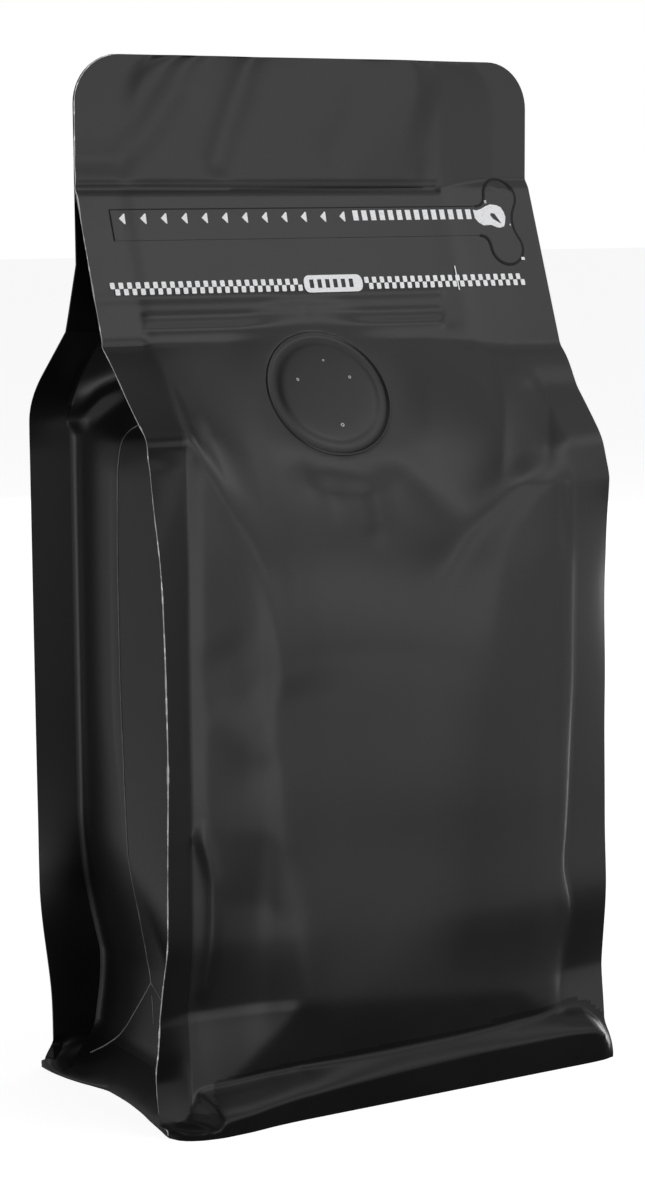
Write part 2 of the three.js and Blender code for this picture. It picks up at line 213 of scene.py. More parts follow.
# Welded creases that stand out of a gusset, as points of (y, z)
GUSSET_CREASES = [
    [(-3.5, 156), (-1, 155.2), (0.2, 154.4), (0.4, 153.2), (-0.1, 151), (-0.2, 148.2), (-0.3, 143.3),
     (-0.1, 125.3), (-0.5, 104.9), (-0.8, 79.7), (-0.3, 58.6), (1.1, 46.2), (2.2, 38), (2.3, 30.7),
     (0.7, 26.2)],
    [(0.7, 26.2), (-3.2, 24.6), (-7.2, 22.4), (-9.5, 21)],
    [(0.7, 26.2), (5.1, 20.4), (9.7, 14.3), (14.1, 9.9), (17, 7.4), (19.5, 5.6)],
    [(-0.3, 23.6), (-1.7, 20.5), (-3, 17.6)],
]
CREASE_RADIUS = 0.16

# The pale line along the front left fin's cut edge: its radius, and where it has frayed into beads,
# as height, length and swelling
CUT_LINE_RADIUS = 0.13
CUT_LINE_BEADS = [(158, 1.5, 0.12), (121, 2, 0.1), (98, 2, 0.16), (82, 5, 0.1), (20, 9, 0.08)]

# ---- Small maths on arrays ------------------------------------------------------------------------


def lerp(a, b, share):
    return a + (b - a) * share


def smoothstep(value, low, high):
    t = np.clip((value - low) / (high - low), 0, 1)
    return t * t * (3 - 2 * t)


def smooth_max(a, b, width):
    overlap = np.maximum(width - np.abs(a - b), 0) / width
    return np.maximum(a, b) + overlap**2 * width / 4


def smooth_min(a, b, width):
    return -smooth_max(-a, -b, width)


def soft_positive(value, softness):
    """The value where it is above 0, easing in round 0."""
    return softness * np.logaddexp(0, value / softness)


def along(stations, z):
    """A smooth value between the stations (height, value), level at each station that is a peak."""
    heights = np.array([station[0] for station in stations], float)
    values = np.array([station[1] for station in stations], float)
    gaps = np.diff(heights)
    slopes = np.diff(values) / gaps
    product = slopes[:-1] * slopes[1:]
    total = np.where(product > 0, slopes[:-1] + slopes[1:], 1)
    tangents = np.concatenate([[0], np.where(product > 0, 2 * product / total, 0), [0]])
    z = np.clip(z, heights[0], heights[-1])
    i = np.clip(np.searchsorted(heights, z, side="right") - 1, 0, len(gaps) - 1)
    t = (z - heights[i]) / gaps[i]
    a = tangents[i] * gaps[i]
    b = tangents[i + 1] * gaps[i]
    rise = values[i + 1] - values[i]
    return values[i] + a * t + (3 * rise - 2 * a - b) * t**2 + (a + b - 2 * rise) * t**3


def nearest_on_path(x, z, path):
    """Distance from a path, with its sign (+ on the left as the path runs), and the share run."""
    best = np.full(np.broadcast(x, z).shape, 1e9)
    signed = np.zeros_like(best)
    share = np.zeros_like(best)
    runs = [math.dist(a, b) for a, b in zip(path, path[1:])]
    before = 0.0
    for (x0, z0), (x1, z1), run in zip(path, path[1:], runs):
        ux, uz = (x1 - x0) / run, (z1 - z0) / run
        t = np.clip((x - x0) * ux + (z - z0) * uz, 0, run)
        dx, dz = x - x0 - t * ux, z - z0 - t * uz
        distance = np.hypot(dx, dz)
        closer = distance < best
        side = np.sign(ux * dz - uz * dx)
        best = np.where(closer, distance, best)
        signed = np.where(closer, distance * side, signed)
        share = np.where(closer, (before + t) / sum(runs), share)
        before += run
    return signed, share


# ---- Folds ----------------------------------------------------------------------------------------

# Folds of the front: points of (x, z), how far the fold stands out (or sinks in, below 0), its width
# on the left as the points run, its width on the right, and how much of each end fades.
SHOULDER_FOLDS = [
    ([(-52, 154.6), (-50.4, 154.3), (-47.5, 152.7), (-45, 147.7), (-41.7, 141), (-38.2, 136.5),
      (-35.2, 130.8), (-33.1, 125.3), (-31.7, 118.6), (-29.5, 107.4), (-28, 95)], 0.4, 12, 2.6, 0.12),
    ([(53, 147.8), (43.7, 146.4), (39.1, 143.9), (34.5, 141.2), (30.1, 138.7), (26.2, 135.5),
      (21.2, 132.4), (16.6, 128.2), (13.4, 124), (8.9, 119.8), (4, 116)], 0.75, 2.6, 6, 0.3),
    ([(-2, 153), (7.4, 146.4), (12, 140.5), (17, 134), (21, 131)], 0.4, 4, 4, 0.25),
    ([(31.2, 169.9), (38, 169.7), (42.7, 167.7), (46, 163), (49.7, 159.1)], 0.3, 2.5, 2.5, 0.25),
    ([(46.8, 146), (46.6, 139), (47.2, 130), (48, 120)], -0.5, 2.4, 2.4, 0.3),
    ([(-6.6, 148.2), (-4.9, 144.9), (-2.1, 140.4), (-2.2, 133.8), (-4.6, 127.4)], 0.4, 3.5, 2.5, 0.25),
    ([(-50.6, 175), (-50.6, 168), (-50.6, 163), (-50.6, 155)], -0.6, 1.3, 1.3, 0.1),
]
SIDE_FOLDS = [
    ([(-47.5, 112), (-43, 105), (-38.5, 99), (-32, 93)], -0.4, 8, 6, 0.35),
    ([(-48.5, 96), (-43, 91), (-37, 87), (-30, 83.5)], 0.2, 4, 4, 0.25),
    ([(-50, 71), (-49.4, 66.8), (-47.9, 62.1), (-46.9, 57.5), (-46.9, 48.5), (-47.4, 41.8), (-48.5, 34.9),
      (-49.3, 29)], 0.6, 1.5, 1.5, 0.1),
]
HEADER_FOLDS = [
    ([(-35, 240), (-36, 229.4), (-41.5, 221.6), (-51.6, 210.6)], -0.5, 4, 4, 0.1),
    ([(-17, 240), (-18.6, 229.6), (-22.6, 219.5), (-26, 209.9)], -0.45, 3.5, 3.5, 0.1),
    ([(14, 240), (13.1, 230), (9, 220.8), (3.6, 211.7)], -0.25, 5, 5, 0.1),
    ([(-53, 207.5), (35, 207.1)], -0.5, 0.7, 0.7, 0.01),
    ([(-53, 208.9), (35, 208.6)], -0.15, 0.5, 0.5, 0.01),
    ([(-51.5, 183.7), (31, 183.4)], -0.3, 1.2, 1.2, 0.03),
    ([(-50, 179.6), (30, 179.2)], 0.3, 0.9, 1.6, 0.02),
    ([(-50.5, 176.8), (29.5, 176.4)], -0.42, 1.1, 1.1, 0.03),
    ([(-7.6, 181.5), (-7.8, 176)], 0.16, 0.8, 0.8, 0.25),
    ([(-21, 194.8), (-8, 194.7)], 0.1, 0.5, 0.5, 0.2),
]
# How far the header's bands stand out, at some x
HEADER_WAVE = [(-56, 0), (-43, 1), (-20, 0.2), (6, 1), (25, 1.6), (34, 0.3), (54, 0)]
# A flat patch low on the left of the front, hinged at its top edge: the edge's height at some x
PATCH_TOP = [(-50, 72), (-46, 69.7), (-43, 68.1), (-34, 67.2), (-30, 64)]
# The left edge of the flatter pocket right of the valve, at some heights
POCKET_EDGE = [(138, 29), (147, 32.5), (155, 36), (166, 40)]


def ridge(x, z, path, height, left_width, right_width, fade):
    """A fold that stands out along a path, with its own width on each side of it."""
    signed, share = nearest_on_path(x, z, path)
    width = np.where(signed > 0, left_width, right_width)
    ends = smoothstep(share, 0, fade) * (1 - smoothstep(share, 1 - fade, 1))
    return height * ends * np.exp(-((signed / width) ** 2))


def dent(x, z, centre, size, depth, turn=0):
    """A soft oval hollow (or a swelling, with a negative depth), turned by some degrees."""
    c, s = math.cos(math.radians(turn)), math.sin(math.radians(turn))
    dx, dz = x - centre[0], z - centre[1]
    across_it = (dx * c + dz * s) / size[0]
    up_it = (dz * c - dx * s) / size[1]
    return -depth * np.exp(-(across_it**2) - up_it**2)


def waves(x, z, seed, lengths, heights):
    """Gentle uneven waves that a film keeps from its making."""
    random = np.random.default_rng(seed)
    total = 0 * (x + z)
    for length, height in zip(lengths, heights):
        for _ in range(4):
            angle, phase = random.uniform(0, 2 * np.pi, 2)
            turn = 2 * np.pi / length
            total = total + height / 2 * np.sin((x * np.cos(angle) + z * np.sin(angle)) * turn + phase)
    return total


def header_wave(x, z):
    """The limp swell of the whole header above its crease, in slanting bands."""
    rise = np.clip((z - 208) / 29, 0, 1)
    return along(HEADER_WAVE, x - 0.3 * (z - 222)) * rise * smoothstep(50 - np.abs(x), 0, 6)


def hinged_patch(x, z):
    top = along(PATCH_TOP, x)
    tilt = np.clip((top - z) / 17, 0, 1) * smoothstep(z, 14, 56)
    depth = 0.3 + 0.04 * np.clip(x + 48, 0, 12)
    return -tilt * depth * (1 - smoothstep(x, -37, -19))


def pocket(x, z):
    inside = smoothstep(z, 139, 147) * (1 - smoothstep(z, 160, 169))
    return -0.22 * inside * np.clip(x - along(POCKET_EDGE, z), 0, 12)


def corner_facet(x, z):
    """The stiff triangle at the foot of the left, where the film is welded to the bottom's."""
    inside = 1 - smoothstep(z, 26.7, 27.3)
    return 0.2 * inside * (1 - smoothstep(x, -29, -25))


def front_relief(x, z):
    """How far the folds of the front stand out of its main shape."""
    body = smoothstep(z, 12, 40) * (1 - smoothstep(z, 160, 172))
    total = waves(x, z, 3, (60, 26), (0.2, 0.05)) * body
    for fold in SHOULDER_FOLDS + SIDE_FOLDS + HEADER_FOLDS:
        total = total + ridge(x, z, *fold)
    total = total + dent(x, z, (-13, 141), (3, 6), 0.35) + dent(x, z, (-19, 146), (3, 5), 0.3)
    total = total + dent(x, z, (-40, 78.5), (6, 6.5), 0.25)
    total = total + dent(x, z, (31.5, 210.5), (2.6, 4), 0.25)
    doubled = smoothstep(x, -50.5, -46) * (1 - smoothstep(x, 29, 37)) * smoothstep(z, 174, 177)
    total = total + 0.2 * doubled * (1 - smoothstep(z, 206, 208))
    total = total - 0.05 * np.maximum(x - 35, 0) * smoothstep(z, 207, 210)
    return total + header_wave(x, z) + hinged_patch(x, z) + pocket(x, z) + corner_facet(x, z)


# ---- The walls ------------------------------------------------------------------------------------


def across(x):
    return 1 - np.minimum(np.abs(x) / ROOT_X, 1) ** 2.4


def root_x(side, wall, z):
    """Distance of a fin's root from the middle plane."""
    if wall > 0:
        return along(BACK_ROOT, z)
    return along(FRONT_RIGHT_ROOT if side > 0 else FRONT_LEFT_ROOT, z)


def root_undercut(z, depth):
    return depth * (1 - smoothstep(z, ROOT_UNDERCUT["low"], ROOT_UNDERCUT["high"]))


def root_roll(x, z):
    """The film's quick turn out of each root, where the walls are full."""
    from_left, from_right = np.maximum(x + root_x(-1, -1, z), 0), np.maximum(root_x(1, -1, z) - x, 0)
    left = 1 - LEFT_ROLL["depth"] * (1 - smooth_min(from_left / LEFT_ROLL["width"], 1, 0.4))
    right = 1 - RIGHT_ROLL["depth"] * np.exp(-from_right / RIGHT_ROLL["width"])
    rolled = left * (1 - smoothstep(z, 146, 156)) + (right - 1) * (1 - smoothstep(z, 138, 150))
    return rolled * smoothstep(z, 22, 44)


def front_undercut(x, z):
    at_root = np.exp(-((np.maximum(ROOT_X - np.abs(x), 0) / ROOT_UNDERCUT["reach"]) ** 2))
    turned_in = UNDERCUT_SLOPE * soft_positive(along(UNDERCUT_LINE, x) - z, 0.8) * (1 - at_root)
    at_left = np.clip(1 - (x + ROOT_X) / ROOT_UNDERCUT["facet"], 0, 1)
    facet = root_undercut(np.maximum(z, FACET_TOP_Z), at_left * ROOT_UNDERCUT["left"])
    left = facet * np.clip((z - 4) / (FACET_TOP_Z - 4), 0, 1)
    right = root_undercut(z, at_root * ROOT_UNDERCUT["right"]) * np.clip((z - 4) / 18, 0, 1)
    return np.where(x < 0, left, right) + turned_in


def plain_front_y(x, z):
    """The front wall's y between the fins' roots, without its small folds."""
    crease, bottom = along(CREASE_LINE, x), along(HEADER_BOTTOM, x)
    leaning = HEADER_Y - HEADER_LEAN * np.maximum(crease - z, 0)
    drop = np.maximum(bottom - z, 0)
    steepness = along(SHOULDER_STEEPNESS, x)
    rounded = np.minimum(drop, steepness / (2 * SHOULDER_ROUNDING))
    shoulder = HEADER_Y - HEADER_LEAN * (crease - bottom) - steepness * rounded
    shoulder = shoulder + SHOULDER_ROUNDING * rounded**2 - SHOULDER_TAIL * (drop - rounded)
    body = FRONT_Y - along(FRONT_BELLY, x) * along(FRONT_FULLNESS, z) - root_roll(x, z)
    return np.where(z >= bottom, leaning, smooth_max(shoulder, body + front_undercut(x, z), 3))


def valve_plane():
    """The valve's centre on the wall, and the wall's slopes there along x and z."""
    x, z = (np.float64(value) for value in VALVE_CENTRE)
    slope_x = (plain_front_y(x + 1, z) - plain_front_y(x - 1, z)) / 2
    slope_z = (plain_front_y(x, z + 1) - plain_front_y(x, z - 1)) / 2
    return float(plain_front_y(x, z)), float(slope_x), float(slope_z)


VALVE_Y, VALVE_SLOPE_X, VALVE_SLOPE_Z = valve_plane()


def front_y(x, z):
    """The front wall's y, drawn flat round the valve's disc."""
    dx, dz = x - VALVE_CENTRE[0], z - VALVE_CENTRE[1]
    disc = VALVE_Y + VALVE_SLOPE_X * dx + VALVE_SLOPE_Z * dz
    radius = np.hypot(dx, dz * math.hypot(1, VALVE_SLOPE_Z))
    flat = 1 - smoothstep(radius, VALVE_RADIUS, VALVE_RADIUS + VALVE_FLAT_REACH)
    sunk = VALVE_SINK * (1 - smoothstep(radius, VALVE_RADIUS - 1.4, VALVE_RADIUS - 0.3))
    return lerp(plain_front_y(x, z) - front_relief(x, z), disc, flat) + sunk


def back_y(x, z):
    """The back wall's y between the fins' roots."""
    lean = np.maximum(BACK_LEAN_TOP_Z - np.maximum(z, BACK_BEND_Z), 0)
    leaning = HEADER_Y + TOP_FILM + BACK_HEADER_LEAN * lean - header_wave(x, z)
    drop = np.maximum(BACK_BEND_Z - z, 0)
    shoulder = leaning + lerp(BACK_SHOULDER_SLOPE, 0.8, across(x)) * drop
    full = smoothstep(z, FOOT_Z, 48) * (1 - 0.4 * smoothstep(z, 105, 160))
    body = BACK_Y + BACK_BELLY * across(x) * full - root_undercut(z, ROOT_UNDERCUT["back"])
    return smooth_min(shoulder, body, lerp(7, 12, across(x)))


def gusset_x(side, share, y, z):
    """Distance of the gusset from the middle plane. The share runs from -1 at the front root to 1."""
    root = np.where(share < 0, root_x(side, -1, z), root_x(side, 1, z))
    tent = lerp(along(GUSSET_CREASE, z), root, np.abs(share))
    tent = np.where(z < GUSSET_VEE_Z, np.maximum(tent, along(GUSSET_FOOT, z)), tent)
    away = (1 - np.abs(share)) * 30
    fillet = GUSSET_ROOT["fillet"] * np.exp(-away / GUSSET_ROOT["fillet_width"])
    hollow = GUSSET_ROOT["hollow"] * np.exp(-away / GUSSET_ROOT["hollow_width"])
    rolled = (fillet - hollow) * (1 - smoothstep(z, 150, 156))
    return tent + rolled + ridge(y, z, TUCK_RIDGE, 1.2, 2.2, 2.2, 0.1)


# ---- The bag's outline at each level --------------------------------------------------------------

FIN_COLUMNS = 8
FRONT_COLUMNS = 150
BACK_COLUMNS = 56
GUSSET_COLUMNS = 36


def fin_points(side, wall, z, share, inset):
    """Points of a fin, from its root (share 0) to its cut edge (share 1)."""
    name = ("front" if wall < 0 else "back", "left" if side < 0 else "right")
    bend = np.radians(along(FIN_BEND[name], z))
    curl = np.radians(along(FIN_CURL.get(name, [(0, 0), (1, 0)]), z))
    root = root_x(side, wall, z)
    root_y = (front_y if wall < 0 else back_y)(side * root, z)
    edge = along(FRONT_RIGHT_EDGE, z) if wall < 0 < side else HALF_WIDTH
    distance = share * (edge - root)
    turned, halfway = bend + curl * share**2, bend + curl * share**2 / 3
    x = root + distance * np.cos(halfway) + inset * np.sin(turned)
    y = distance * np.sin(halfway) - inset * np.cos(turned)
    return side * x, root_y + wall * y


def join_columns(*parts):
    xs, ys = zip(*parts)
    return np.concatenate(xs, axis=1), np.concatenate(ys, axis=1)


def wall_outline(wall, columns, z):
    """One wall's outside, from fin edge to fin edge, in the direction of +X."""
    fin = np.linspace(1, 0, FIN_COLUMNS + 1)[None, :]
    share = np.linspace(0, 1, columns + 1)[None, 1:-1]
    x = lerp(-root_x(-1, wall, z), root_x(1, wall, z), share)
    panel_y = (front_y if wall < 0 else back_y)(x, z)
    left = fin_points(-1, wall, z, fin, 0)
    right = fin_points(1, wall, z, fin[:, ::-1], 0)
    return join_columns(left, (x, panel_y), right)


def gusset_shares():
    """Shares of the gusset's columns, closer together at both roots."""
    return np.sin(np.linspace(-np.pi / 2, np.pi / 2, GUSSET_COLUMNS + 1))[None, 1:-1]


def side_outline(side, z):
    """One side's recess, from the front fin's inner face round the gusset to the back fin's.
    Where the walls meet, it closes up to the straight edge of the header."""
    front = front_y(side * root_x(side, -1, z), z)
    back = back_y(side * root_x(side, 1, z), z)
    fin = np.linspace(1, 0, FIN_COLUMNS + 1)[None, :]
    share = gusset_shares()
    near, far = front + FIN_FILM, back - FIN_FILM
    crease_y = lerp(near, far, along(GUSSET_FOLD, z))
    y = np.where(share < 0, lerp(crease_y, near, -share), lerp(crease_y, far, share))
    gusset = (side * gusset_x(side, share, y, z), y)
    x, y = join_columns(
        fin_points(side, -1, z, fin, FIN_FILM),
        gusset,
        fin_points(side, 1, z, fin[:, ::-1], FIN_FILM),
    )
    count = x.shape[1]
    place = (np.arange(count)[None, :] + 1) / (count + 1)
    opening = smoothstep(back - front - 2 * FIN_FILM, 0.2, 4)
    return lerp(side * HALF_WIDTH, x, opening), lerp(lerp(front, back, place), y, opening)


def body_outline(z):
    """Outlines of the walls, counter-clockwise from the front left fin's edge."""
    front = wall_outline(-1, FRONT_COLUMNS, z)
    right = side_outline(1, z)
    back = wall_outline(1, BACK_COLUMNS, z)
    left = side_outline(-1, z)
    backwards = [(x[:, ::-1], y[:, ::-1]) for x, y in (back, left)]
    return join_columns(front, right, backwards[0], backwards[1])


def hem_outline(z):
    """The hem's outlines, point for point as the body's, and how much each keeps of the body."""
    lean = HEM_LEAN * z
    seal = SEAL_WIDTH / (2 * HALF_WIDTH)

    def wall(side, columns):
        share = np.concatenate([
            np.linspace(0, seal, FIN_COLUMNS + 1),
            np.linspace(seal, 1 - seal, columns + 1)[1:-1],
            np.linspace(1 - seal, 1, FIN_COLUMNS + 1),
        ])[None, :]
        left = HEM_LEFT_X if side < 0 else -along(HEM_SIDE, 31)
        x = lerp(left, HEM_RIGHT_X, share) + 0 * z
        y = along(HEM_FRONT, x) - lean if side < 0 else HEM_BACK_Y + lean + 0 * x
        low, high = along(HEM_LOW, x), along(HEM_HIGH, x)
        rise = np.clip((z - low) / (high - low), 0, 1.2) ** 1.5
        keep = np.clip(smooth_min(rise, 1, 0.25), 0, 1)
        return x, y, keep

    def side_wall(side):
        count = 2 * (FIN_COLUMNS + 1) + GUSSET_COLUMNS - 1
        place = (np.arange(count)[None, :] + 0.5) / count
        y = lerp(-29, HEM_BACK_Y - 1, place) + 0 * z
        edge = np.minimum(np.abs(place - 0.5) * 2, 1) ** 6
        high = lerp(FOOT_Z, 9, edge)
        return side * (along(HEM_SIDE, y) + lean), y, smoothstep(z, 0.4, high) ** lerp(0.7, 1, edge)

    front, right = wall(-1, FRONT_COLUMNS), side_wall(1)
    back, left = (tuple(a[:, ::-1] for a in part) for part in (wall(1, BACK_COLUMNS), side_wall(-1)))
    return tuple(np.concatenate(parts, axis=1) for parts in zip(front, right, back, left))


def bag_outline(z):
    """x and y of every point of the bag's film, one row for each level."""
    body_x, body_y = body_outline(z)
    hem_x, hem_y, keep = hem_outline(z)
    over = np.maximum(z - (BAG_HEIGHT - TOP_CORNER_RADIUS), 0)
    narrowing = (HALF_WIDTH - TOP_CORNER_RADIUS + np.sqrt(TOP_CORNER_RADIUS**2 - over**2)) / HALF_WIDTH
    return lerp(hem_x, body_x * narrowing, keep), lerp(hem_y, body_y, keep)


def bag_levels():
    """Heights of the film's rows of points, closer together where it is folded or welded."""
    corner = np.sin(np.linspace(0, np.pi / 2, 14))
    return np.concatenate([
        [0, 0.35],
        np.arange(0.8, 14, 0.4),
        np.arange(14, 42, 1.1),
        np.arange(42, 140, 1.5),
        np.arange(140, 171, 1.0),
        np.arange(171, 176, 0.8),
        np.arange(176, 185, 0.45),
        np.arange(185, 202, 1.0),
        np.arange(202, 210, 0.45),
        np.arange(210, 225.5, 1.4),
        BAG_HEIGHT - TOP_CORNER_RADIUS + TOP_CORNER_RADIUS * corner,
    ])


# ---- Materials ------------------------------------------------------------------------------------


class Wire:
    """A value on its way through a material. Sums and products of wires add Math nodes."""

    def __init__(self, finish, socket):
        self.finish = finish
        self.socket = socket

    def maths(self, operation, first, second):
        return self.finish.node("ShaderNodeMath", {"operation": operation}, {0: first, 1: second})

    def __add__(self, other):
        return self.maths("ADD", self, other)

    def __sub__(self, other):
        return self.maths("SUBTRACT", self, other)

    def __rsub__(self, other):
        return self.maths("SUBTRACT", other, self)

    def __mul__(self, other):
        return self.maths("MULTIPLY", self, other)

    __radd__ = __add__
    __rmul__ = __mul__


class Finish:
    """One material, and the nodes that it is made of."""

    def __init__(self, name, constants):
        self.material = bpy.data.materials.new(name)
        self.material.use_nodes = True
        self.tree = self.material.node_tree
        self.shader = self.tree.nodes["Principled BSDF"]
        for socket, value in constants.items():
            self.shader.inputs[socket].default_value = value

    def node(self, kind, settings, inputs, output=0):
        made = self.tree.nodes.new(kind)
        for name, value in settings.items():
            setattr(made, name, value)
        for name, value in inputs.items():
            self.plug(made.inputs[name], value)
        return Wire(self, made.outputs[output])

    def plug(self, socket, value):
        if isinstance(value, Wire):
            self.tree.links.new(value.socket, socket)
        else:
            socket.default_value = value

    def feed(self, **sockets):
        for name, value in sockets.items():
            self.plug(self.shader.inputs[name.replace("_", " ")], value)

    def place(self):
        return self.node("ShaderNodeTexCoord", {}, {}, "Object")

    def noise(self, size_mm, detail):
        """Noise whose spots are about that large, from 0 to 1."""
        inputs = {"Vector": self.place(), "Scale": 1 / (size_mm * MM), "Detail": detail}
        return self.node("ShaderNodeTexNoise", {}, inputs, "Fac")

    def ramp(self, value, low, high):
        """0 below low and 1 above high, smooth between them."""
        inputs = {"Value": value, "From Min": low, "From Max": high}
        return self.node("ShaderNodeMapRange", {"interpolation_type": "SMOOTHSTEP"}, inputs)

    def blend(self, share, first, second):
        inputs = {"Factor": share, 6: first, 7: second}
        return self.node("ShaderNodeMix", {"data_type": "RGBA"}, inputs, 2)

    def bump(self, height, strength, distance_mm):
        inputs = {"Height": height, "Strength": strength, "Distance": distance_mm * MM}
        return self.node("ShaderNodeBump", {}, inputs)


def grey(value):
    return (value, value, value * 1.02, 1)


FILM_BLACK = 0.005
FILM_DUSTY = 0.007


def film_finish(name, roughness=0.31, sheen=0.36, black=FILM_BLACK, dusty=FILM_DUSTY):
    """Matte black laminate: a fine even grain, faint cloudy patches, and a soft sheen."""
    film = Finish(name, {"IOR": 1.5, "Specular IOR Level": sheen})
    clouds = film.noise(26, 3)
    grain = film.noise(0.35, 2)
    film.feed(
        Base_Color=film.blend(film.ramp(clouds, 0.35, 0.7), grey(black), grey(dusty)),
        Roughness=roughness + (clouds - 0.5) * 0.08 + (grain - 0.5) * 0.05,
        Normal=film.bump(grain, 0.12, 0.03),
    )
    return film.material


def cut_edge_and_highlight_finish():
    """Where a seal is cut, the pale core of the laminate shows, brighter in specks. The same finish
    paints the glints of the pin holes and the highlights at the tab's cut.
    """
    edge = Finish("cut_edge_and_painted_highlights", {"Roughness": 0.5})
    specks = edge.ramp(edge.noise(1.6, 2), 0.5, 0.62)
    worn = edge.ramp(edge.noise(11, 1), 0.35, 0.6)
    edge.feed(Base_Color=edge.blend(specks * worn, grey(0.5), grey(0.95)))
    return edge.material


def crease_pale_and_highlight_finish():
    """The film where it is creased and welded: stretched paler, and paler still as a painted highlight
    along the fold.
    """
    crease_paleness_and_highlight = Finish("crease_paleness_and_highlight", {"Roughness": 0.4, "Specular IOR Level": 0.4})
    crease_paleness_and_highlight.feed(Base_Color=crease_paleness_and_highlight.blend(crease_paleness_and_highlight.ramp(crease_paleness_and_highlight.noise(4, 2), 0.4, 0.65), grey(0.12), grey(0.2)))
    return crease_paleness_and_highlight.material


def print_finish():
    ink = Finish("white_ink", {"Roughness": 0.45})
    thin = ink.ramp(ink.noise(0.5, 3), 0.3, 0.5)
    ink.feed(Base_Color=ink.blend(thin, grey(0.78), grey(0.9)))
    return ink.material


# ---- Meshes ---------------------------------------------------------------------------------------


def deselect():
    bpy.ops.object.select_all(action="DESELECT")


def take_up(obj):
    deselect()
    obj.select_set(True)
    bpy.context.view_layer.objects.active = obj


def named(name):
    obj = bpy.context.active_object
    obj.name = name
    obj.data.name = name
    return obj


def move_points(obj, points_mm):
    obj.data.vertices.foreach_set("co", (np.asarray(points_mm, float) * MM).astype(np.float32).ravel())
    obj.data.update()


def points_of(obj):
    points = np.zeros(len(obj.data.vertices) * 3, np.float32)
    obj.data.vertices.foreach_get("co", points)
    return points.reshape(-1, 3).astype(float) / MM


def edit(obj, *steps):
    """Runs edit-mode steps on the whole of a mesh."""
    take_up(obj)
    bpy.ops.object.mode_set(mode="EDIT")
    bpy.ops.mesh.select_all(action="SELECT")
    for step in steps:
        step()
    bpy.ops.object.mode_set(mode="OBJECT")


def finish_piece(obj, slot, *materials):
    for material in materials:
        obj.data.materials.append(material)
    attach(obj, "root")


# ---- The film -------------------------------------------------------------------------------------


def make_bag_film(materials):
    heights = bag_levels()[:, None]
    x, y = bag_outline(heights)
    x, y = (np.concatenate([a, a[:, :1]], axis=1) for a in (x, y))
    rows, columns = x.shape
    deselect()
    bpy.ops.mesh.primitive_grid_add(x_subdivisions=columns - 1, y_subdivisions=rows - 1, size=1)
    film = named("bag_film")
    move_points(film, np.stack([x, y, heights + 0 * x], axis=-1).reshape(-1, 3))

    # Faces below these heights take the film with less sheen: painted shade on the hem all round and on
    # the front left fin
    painted_shade_top = np.full((rows - 1, columns - 1), float(SIDE_PAINTED_SHADE_TOP_Z))
    front = slice(2 * FIN_COLUMNS + FRONT_COLUMNS)
    painted_shade_top[:, front] = along(HEM_HIGH, x[:-1, front]) + PAINTED_SHADE_OVER_HEM
    painted_shade_top[:, :FIN_COLUMNS] = FIN_PAINTED_SHADE_TOP_Z
    welded = (heights[:-1] + heights[1:]) / 2 < painted_shade_top
    film.data.polygons.foreach_set("material_index", welded.ravel().astype(np.int32))

    def close_ends():
        bpy.ops.mesh.remove_doubles(threshold=0.001 * MM)
        bpy.ops.mesh.select_all(action="DESELECT")
        bpy.ops.mesh.select_non_manifold(extend=False)
        bpy.ops.mesh.edge_face_add()
        bpy.ops.mesh.select_all(action="SELECT")
        bpy.ops.mesh.normals_make_consistent(inside=False)

    edit(film, close_ends)
    take_up(film)
    bpy.ops.object.shade_smooth_by_angle(angle=math.radians(42))
    finish_piece(film, "film", *materials)
    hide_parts("bag")


def side_points(side, path):
    """The points of a side's film at a path of (y, z)."""
    y, z = np.array(path, float).T
    xs, ys = bag_outline(z[:, None])
    front, back = 2 * FIN_COLUMNS + FRONT_COLUMNS + 1, 2 * FIN_COLUMNS + BACK_COLUMNS + 1
    count = 2 * (FIN_COLUMNS + 1) + GUSSET_COLUMNS - 1
    start = front if side > 0 else front + count + back
    gusset = slice(start + FIN_COLUMNS, start + count - FIN_COLUMNS)
    points = []
    for row in range(len(z)):
        order = np.argsort(ys[row, gusset])
        x = np.interp(y[row], ys[row, gusset][order], xs[row, gusset][order])
        points.append((x, y[row], z[row]))
    return points


def drawn_mesh(name, lines, closed, settings):
    """A mesh from curves. Each line is a list of points (x, y, z, radius)."""
    curve = bpy.data.curves.new(name, "CURVE")
    for setting, value in settings.items():
        setattr(curve, setting, value)
    for line in lines:
        spline = curve.splines.new("POLY")
        spline.points.add(len(line) - 1)
        for point, (x, y, z, radius) in zip(spline.points, line):
            point.co = (x * MM, y * MM, z * MM, 1)
            point.radius = radius
        spline.use_cyclic_u = closed
    drawn = bpy.data.objects.new(name, curve)
    bpy.context.scene.collection.objects.link(drawn)
    take_up(drawn)
    bpy.ops.object.convert(target="MESH")
    return named(name)


def make_cords(name, lines, material):
    """Thin round cords along the lines."""
    settings = {"dimensions": "3D", "bevel_depth": MM, "bevel_resolution": 2}
    cords = drawn_mesh(name, lines, False, settings)
    bpy.ops.object.shade_smooth()
    finish_piece(cords, "film", material)


def make_gusset_creases(material):
    """The welded creases of both gussets, half sunk in the film."""
    for side, name in ((-1, "left"), (1, "right")):
        lines = []
        for path in GUSSET_CREASES:
            places = side_points(side, close_points(path, 1.2, closed=False))
            lines.append([(*place, CREASE_RADIUS) for place in places])
        make_cords(f"gusset_creases_{name}", lines, material)


